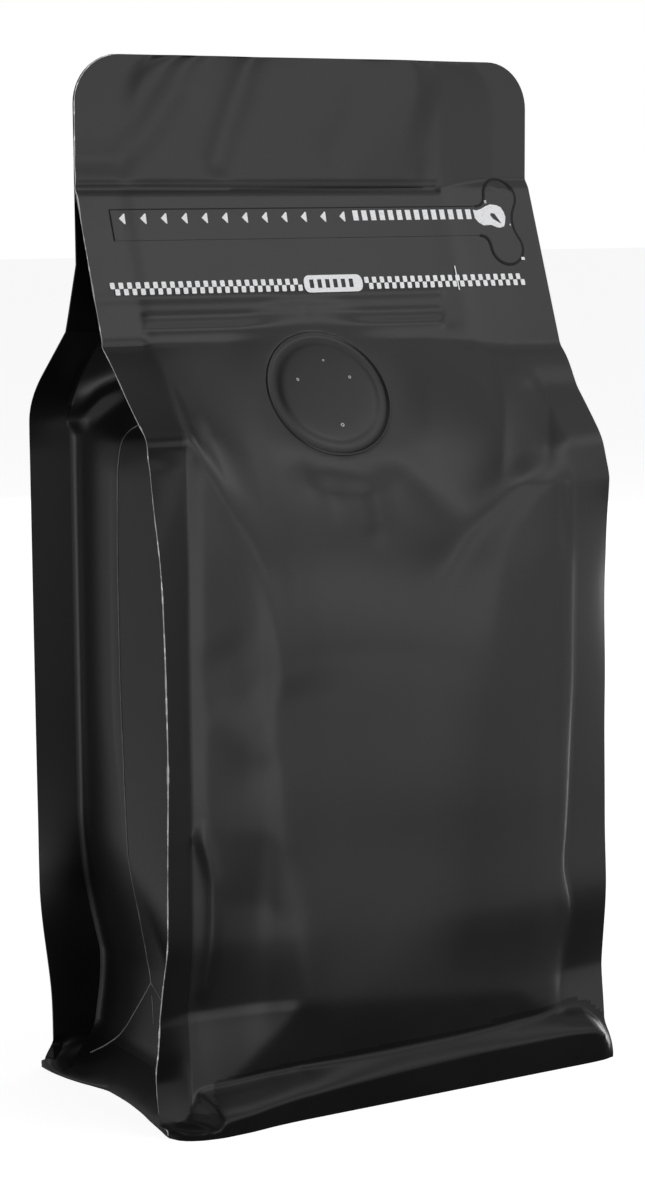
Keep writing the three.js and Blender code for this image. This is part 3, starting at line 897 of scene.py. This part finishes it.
def make_cut_line(material):
    """The pale core of the laminate, seen as a line all along the front left fin's cut edge."""
    corner = np.sin(np.linspace(0, 1.45, 12))
    top_arc = BAG_HEIGHT - TOP_CORNER_RADIUS + TOP_CORNER_RADIUS * corner
    z = np.concatenate([np.arange(0.6, 226, 0.8), top_arc])
    xs, ys = bag_outline(z[:, None])
    radius = CUT_LINE_RADIUS * (1 + waves(0, z, 5, (9, 4), (0.3, 0.3)))
    for height, length, swelling in CUT_LINE_BEADS:
        frayed = np.exp(-(((z - height) / length) ** 2)) * (0.5 + 0.5 * np.sin(z * 2.1))
        radius = radius + swelling * frayed
    line = list(zip((xs[:, 0] + xs[:, -1]) / 2, (ys[:, 0] + ys[:, -1]) / 2, z, radius))
    make_cords("cut_line", [line], material)


# ---- Pieces on the front --------------------------------------------------------------------------


def wall_normal(x, z):
    step = 0.5
    slope_x = (front_y(x + step, z) - front_y(x - step, z)) / (2 * step)
    slope_z = (front_y(x, z + step) - front_y(x, z - step)) / (2 * step)
    normal = np.stack([slope_x, -np.ones_like(slope_x), slope_z], axis=-1)
    return normal / np.linalg.norm(normal, axis=-1, keepdims=True)


def lay_on_front(obj, lift):
    """Moves a flat shape, drawn in x and z, onto the front wall, with its own y as height above it."""
    points = points_of(obj)
    x, z = points[:, 0], points[:, 2]
    on_wall = np.stack([x, front_y(x, z), z], axis=-1)
    move_points(obj, on_wall + wall_normal(x, z) * (lift - points[:, 1])[:, None])


def close_points(outline, step, closed=True):
    """An outline with points added, so that none are further apart than the step."""
    points = []
    ends = outline[1:] + (outline[:1] if closed else [])
    for (x0, z0), (x1, z1) in zip(outline, ends):
        count = max(1, math.ceil(math.dist((x0, z0), (x1, z1)) / step))
        points += [(lerp(x0, x1, i / count), lerp(z0, z1, i / count)) for i in range(count)]
    return points if closed else points + outline[-1:]


def flat_shape(name, outlines, cut=0, step=2):
    """A flat face from closed outlines of (x, z), facing -Y."""
    lines = [[(x, z, 0, 1) for x, z in close_points(outline, step)] for outline in outlines]
    plate = drawn_mesh(name, lines, True, {"dimensions": "2D", "fill_mode": "BOTH"})
    plate.data.transform(Matrix.Rotation(math.radians(90), 4, "X"))
    edit(
        plate,
        lambda: bpy.ops.mesh.remove_doubles(threshold=0.001 * MM),
        bpy.ops.mesh.quads_convert_to_tris,
        bpy.ops.mesh.beautify_fill,
    )
    if cut:
        edit(plate, lambda: bpy.ops.mesh.subdivide(number_cuts=cut))
    return plate


def add_thickness(obj, thickness):
    take_up(obj)
    solidify = obj.modifiers.new("thickness", "SOLIDIFY")
    solidify.thickness = thickness * MM
    solidify.offset = 1
    bpy.ops.object.modifier_apply(modifier=solidify.name)
    edit(obj, lambda: bpy.ops.mesh.normals_make_consistent(inside=False))


def arc(centre, radius, start, end, count):
    """Points of an arc in the leaning header, where heights are foreshortened."""
    stretch = math.hypot(1, HEADER_LEAN)
    angles = np.radians(np.linspace(start, end, count))
    x, z = centre
    return [(x + radius * math.cos(a), z + radius * math.sin(a) / stretch) for a in angles]


def curve_between(start, control, end, count=8):
    points = []
    for t in np.linspace(0, 1, count):
        points.append(tuple(
            (1 - t) ** 2 * s + 2 * t * (1 - t) * c + t**2 * e for s, c, e in zip(start, control, end)
        ))
    return points


def tab_outline():
    """The two-lobed pull tab, from the strip's lower edge round to its upper edge."""
    low, high, right = STRIP["low"], STRIP["high"], STRIP["right"]
    lower = arc(TAB_LOWER, TAB_RADIUS, 180, 395, 30)
    upper = arc(TAB_UPPER, TAB_RADIUS, -37, 180, 30)
    waist = (TAB_LOWER[0] + 1.7, (TAB_LOWER[1] + TAB_UPPER[1]) / 2)
    start = curve_between((right - 2.5, low), (right, low), lower[0])
    middle = curve_between(lower[-1], waist, upper[0])
    end = curve_between(upper[-1], (right, high), (right - 2.5, high))
    return start[:-1] + lower + middle[1:-1] + upper + end[1:]


def make_tear_strip(material):
    tab = tab_outline()
    outline = [(STRIP["left"], STRIP["low"])] + tab + [(STRIP["left"], STRIP["high"])]
    strip = flat_shape("tear_strip_film", [outline], cut=2)
    lay_on_front(strip, STRIP_LIFT)
    add_thickness(strip, STRIP_FILM)
    finish_piece(strip, "strip_film", material)
    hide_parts("tear_strip")


def ribbon(path, width):
    """The outline of a line of some width along a path."""
    path = np.array(path, float)
    run = np.gradient(path, axis=0)
    run /= np.linalg.norm(run, axis=1, keepdims=True)
    aside = np.stack([-run[:, 1], run[:, 0]], axis=1) * width / 2
    return [tuple(p) for p in np.concatenate([path + aside, (path - aside)[::-1]])]


def make_cuts(material):
    """The die's cuts as dark lines of painted shade: wide round the tab, fine along the strip's upper
    edge.
    """
    left, low, right, high = (STRIP[name] for name in ("left", "low", "right", "high"))
    upper = [(right - 3, high)] + [(x, high) for x in np.linspace(right - 4, left, 40)]
    edge = upper + [(left, high - 2), (left, low)]
    for name, path, width in (("tab_cut", tab_outline(), 0.6), ("strip_cut", edge, 0.26)):
        cut = flat_shape(name, [ribbon(path, width)])
        lay_on_front(cut, CUT_LIFT)
        add_thickness(cut, CUT_DEPTH)
        finish_piece(cut, "strip_film", material)


def on_valve(x, z, height):
    """What puts a shape, made round the z axis, onto the valve's disc."""
    normal = Vector((VALVE_SLOPE_X, -1, VALVE_SLOPE_Z)).normalized()
    turn = normal.to_track_quat("Z", "Y").to_matrix().to_4x4()
    y = VALVE_Y + VALVE_SLOPE_X * (x - VALVE_CENTRE[0]) + VALVE_SLOPE_Z * (z - VALVE_CENTRE[1])
    place = Vector((x, y, z)) + normal * height
    return Matrix.Translation(place * MM) @ turn


def make_valve_cover(material):
    """The disc under the film: a thin rim, a sunk ring and a raised middle, turned round its axis."""
    radius, height = np.array(VALVE_PROFILE).T[:, :, None]
    angle = np.linspace(0, 2 * np.pi, VALVE_STEPS + 1)
    deselect()
    bpy.ops.mesh.primitive_grid_add(x_subdivisions=VALVE_STEPS, y_subdivisions=len(radius) - 1, size=1)
    cover = named("valve_cover")
    points = np.stack([radius * np.cos(angle), radius * np.sin(angle), height + 0 * angle], axis=-1)
    move_points(cover, points.reshape(-1, 3))
    edit(
        cover,
        lambda: bpy.ops.mesh.remove_doubles(threshold=0.002 * MM),
        lambda: bpy.ops.mesh.normals_make_consistent(inside=False),
    )
    cover.data.transform(on_valve(*VALVE_CENTRE, 0))
    take_up(cover)
    bpy.ops.object.shade_smooth_by_angle(angle=math.radians(60))
    finish_piece(cover, "valve_film", material)
    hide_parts("valve")


def make_pin_holes(material):
    """Four pricks in the film over the valve, with pale rings round them as painted glints on their torn
    rims.
    """
    parts = []
    for x, z, radius in PIN_HOLES:
        deselect()
        bpy.ops.mesh.primitive_torus_add(
            major_segments=16, minor_segments=8,
            major_radius=radius * MM, minor_radius=radius / 2.2 * MM,
        )
        part = named("pin_holes")
        part.data.transform(on_valve(x, z, PIN_HOLE_LIFT))
        part.matrix_world = Matrix()
        parts.append(part)
    deselect()
    for part in parts:
        part.select_set(True)
    bpy.context.view_layer.objects.active = parts[0]
    bpy.ops.object.join()
    holes = named("pin_holes")
    bpy.ops.object.shade_smooth()
    finish_piece(holes, "valve_film", material)


# ---- The print ------------------------------------------------------------------------------------


def make_print(name, outlines, material, slot="film", cut=0, lift=INK_LIFT):
    shape = flat_shape(name, outlines, cut=cut)
    lay_on_front(shape, lift)
    add_thickness(shape, INK)
    finish_piece(shape, slot, material)


def box_outline(left, right, low, high, radius=0.0, count=6):
    if not radius:
        return [(left, low), (right, low), (right, high), (left, high)]
    centres = [(left, low, 180), (right, low, 270), (right, high, 0), (left, high, 90)]
    points = []
    for x, z, start in centres:
        cx = x + radius if x == left else x - radius
        cz = z + radius if z == low else z - radius
        for angle in np.radians(np.linspace(start, start + 90, count)):
            points.append((cx + radius * math.cos(angle), cz + radius * math.sin(angle)))
    return points


def make_cut_highlights(material):
    """Pale marks painted as highlights where the die-cut edges round the tab catch the light."""
    cut_highlights = [box_outline(x, x + width, z, z + height) for x, z, width, height in TAB_CUT_HIGHLIGHTS]
    make_print("tab_cut_highlights", cut_highlights, material, "strip_film", lift=CUT_HIGHLIGHT_LIFT)


def make_arrows(material):
    arrows = []
    for i in range(12):
        tip = -50.9 + 5.145 * i
        tail = [(tip + 1.15, 199.8), (tip + 1.4, 199.8), (tip + 1.55, 202), (tip + 1.3, 202.1)]
        arrows.append([(tip, 201)] + tail)
    make_print("print_arrows", arrows, material, "strip_film")


def make_dashes(material):
    """A plain row of marks between the arrows and the hand."""
    dashes = [box_outline(left, left + 1.4, 200, 202.3) for left in np.arange(9.4, 41, 2.4)]
    make_print("print_dashes", dashes, material, "strip_film")


def make_checker(material):
    left, right = -56, 54.6
    pitch, square, row = 2.1, 1.15, 1.38
    pill = (-7.6, 9.0)
    squares = []
    for i in range(int((right - left) / pitch)):
        for k in (0, 1):
            x = left + pitch * (i + 0.5 * k)
            if pill[0] < x + square and x < pill[1]:
                continue
            top = 187.1 - row * k
            squares.append(box_outline(x, x + square, top - row, top, 0.2, 3))
    squares.append(box_outline(34.6, 34.9, 183.6, 189.2))
    make_print("print_checker", squares, material)


def make_pill(material):
    pill = box_outline(-7.1, 8.5, 183.9, 187.75, 1.5)
    bars = [box_outline(x, x + 1.1, 184.9, 186.8)[::-1] for x in np.arange(-5.6, 6.5, 2.1)]
    make_print("print_pill", [pill] + bars, material)


def make_hand(material):
    """A plain pinching hand: a wrist at the left, and fingers that close at the right."""
    hand = [
        (42.8, 202.2), (42.9, 200.2), (43.7, 199.2), (45, 198.5), (47.1, 198.6), (48.6, 198),
        (49.4, 197.9), (50.6, 198.2), (51, 198.9), (51.5, 200.4), (51.3, 201.5), (50.7, 202.7),
        (49.6, 203.2), (47.8, 203.4), (46.5, 203), (45.2, 202.4), (43.7, 202),
    ]
    hole = [
        (47.7, 201.4), (48.6, 201.2), (49.5, 199.8), (50.1, 198.8), (48.9, 199.4), (47.9, 200),
        (47.3, 200.9),
    ]
    make_print("print_hand", [hand, hole], material, "strip_film")


# ---- Light, floor and camera ----------------------------------------------------------------------

CAMERA_PLACE = (-320.65, -549.74, 205.87)
CAMERA_YAW = 30.2238
CAMERA_DOWN = 8.3833
CAMERA_ROLL = -0.3708
CAMERA_LENS = 82.34  # on a 36 mm sensor, along the picture's height


def make_camera():
    yaw, down, roll = (math.radians(angle) for angle in (CAMERA_YAW, CAMERA_DOWN, CAMERA_ROLL))
    forward = Vector((math.sin(yaw) * math.cos(down), math.cos(yaw) * math.cos(down), -math.sin(down)))
    level = Vector((math.cos(yaw), -math.sin(yaw), 0))
    upright = level.cross(forward)
    right = level * math.cos(roll) + upright * math.sin(roll)
    up = upright * math.cos(roll) - level * math.sin(roll)
    camera = bpy.data.objects.new("camera", bpy.data.cameras.new("camera"))
    bpy.context.scene.collection.objects.link(camera)
    turn = Matrix((right, up, -forward)).transposed().to_4x4()
    camera.matrix_world = Matrix.Translation(Vector(CAMERA_PLACE) * MM) @ turn
    camera.data.lens = CAMERA_LENS
    camera.data.sensor_width = 36
    camera.data.clip_start = 0.01
    bpy.context.scene.camera = camera


def soft_light(azimuth, elevation, size, radiance):
    """A softbox that faces the bag's middle. Azimuth 0 is in front of the bag, and 90 at its right."""
    a, e = math.radians(azimuth), math.radians(elevation)
    way = Vector((math.sin(a) * math.cos(e), -math.cos(a) * math.cos(e), math.sin(e)))
    lamp = bpy.data.objects.new("softbox", bpy.data.lights.new("softbox", "AREA"))
    bpy.context.scene.collection.objects.link(lamp)
    lamp.data.shape = "RECTANGLE"
    lamp.data.size, lamp.data.size_y = size
    lamp.data.energy = radiance * math.pi * size[0] * size[1]
    place = way * LIGHT_DISTANCE + Vector((0, 0, BAG_MIDDLE))
    lamp.matrix_world = Matrix.Translation(place) @ way.to_track_quat("Z", "Y").to_matrix().to_4x4()


def make_world(seen, felt):
    """White to the eye, and a dim even fill for the bag."""
    world = bpy.data.worlds.new("studio")
    world.use_nodes = True
    bpy.context.scene.world = world
    nodes, links = world.node_tree.nodes, world.node_tree.links
    path = nodes.new("ShaderNodeLightPath")
    pick = nodes.new("ShaderNodeMix")
    pick.inputs[2].default_value = felt
    pick.inputs[3].default_value = seen
    links.new(path.outputs["Is Camera Ray"], pick.inputs[0])
    links.new(pick.outputs[0], nodes["Background"].inputs["Strength"])
    nodes["Background"].inputs["Color"].default_value = (1, 1, 1, 1)


def make_floor():
    deselect()
    bpy.ops.mesh.primitive_plane_add(size=16)
    floor = named("floor")
    pale = bpy.data.materials.new("pale_floor")
    pale.use_nodes = True
    shader = pale.node_tree.nodes["Principled BSDF"]
    shader.inputs["Base Color"].default_value = (0.35, 0.35, 0.35, 1)
    shader.inputs["Roughness"].default_value = 1
    shader.inputs["Specular IOR Level"].default_value = 0
    shader.inputs["Emission Color"].default_value = (1, 1, 1, 1)
    shader.inputs["Emission Strength"].default_value = 0.9
    floor.data.materials.append(pale)
    floor.visible_diffuse = False
    floor.visible_glossy = False
    floor.visible_shadow = False


# Softboxes all round the bag, in rows: elevation, width, height, and each one's azimuth and radiance
LIGHT_DISTANCE = 1.2
BAG_MIDDLE = 0.12
SOFTBOXES = [
    (-7.5, 0.42, 0.5, {-20: 0.53, 0: 2.7, 20: 1.1, 40: 1, 60: 0.8, 80: 0.44}),
    (-7.5, 0.6, 0.5, {105: 5.5}),
    (5, 0.6, 0.3, {25: 1.2}),
    (18, 0.643, 0.6, {15: 0.85, 45: 1, 75: 0.9, 105: 1.3}),
    (37, 0.7, 0.3, {15: 1.7, 45: 1.5}),
    (50, 0.7, 0.5, {45: 0.7, 90: 0.57}),
    (78, 1.2, 0.6, {10: 0.45}),
    (-6, 0.97, 0.5, {-60: 0.78}),
    (22, 0.97, 0.6, {-60: 0.55}),
    (-24, 0.97, 0.3, {-105: 0.41}),
    (-8, 0.97, 0.4, {-105: 1.89}),
    (18, 0.97, 0.5, {-105: 0.57}),
    (-24, 0.8, 0.3, {-145: 0.35}),
    (-8, 0.8, 0.4, {-145: 0.27}),
    (6, 0.8, 0.8, {145: 1.2}),
    (-2, 1.1, 0.6, {180: 0.15}),
]


def make_studio():
    bpy.context.scene.view_settings.view_transform = "Standard"
    make_world(seen=1.0, felt=0.1)
    for elevation, width, height, lamps in SOFTBOXES:
        for azimuth, radiance in lamps.items():
            soft_light(azimuth, elevation, (width, height), radiance)
    make_floor()
    make_camera()


# ---- Assembly -------------------------------------------------------------------------------------


def make_bag():
    film = film_finish("black_film")
    strip = film_finish("strip_film")
    valve = film_finish("valve_film")
    # Darker, rough film for the die's cuts: painted shade in the slits
    cut_shade = film_finish("cut_painted_shade", roughness=0.7, black=0.003, dusty=0.004)
    # The film with less sheen: painted shade for the welded hem and the front left fin
    welded = film_finish("film_less_sheen_painted_shade", roughness=0.3, sheen=0.2)
    ink = print_finish()
    # Pale cut edges, and also the painted glints on the pin holes and painted highlights at the tab's cut
    edge = cut_edge_and_highlight_finish()
    make_bag_film([film, welded])
    # The creases' pale finish: partly stretched film, partly a painted highlight of each fold
    make_gusset_creases(crease_pale_and_highlight_finish())
    make_cut_line(edge)
    make_valve_cover(valve)
    make_pin_holes(edge)
    make_tear_strip(strip)
    make_cuts(cut_shade)
    make_cut_highlights(edge)
    make_arrows(ink)
    make_dashes(ink)
    make_hand(ink)
    make_checker(ink)
    make_pill(ink)


make_bag()
make_studio()
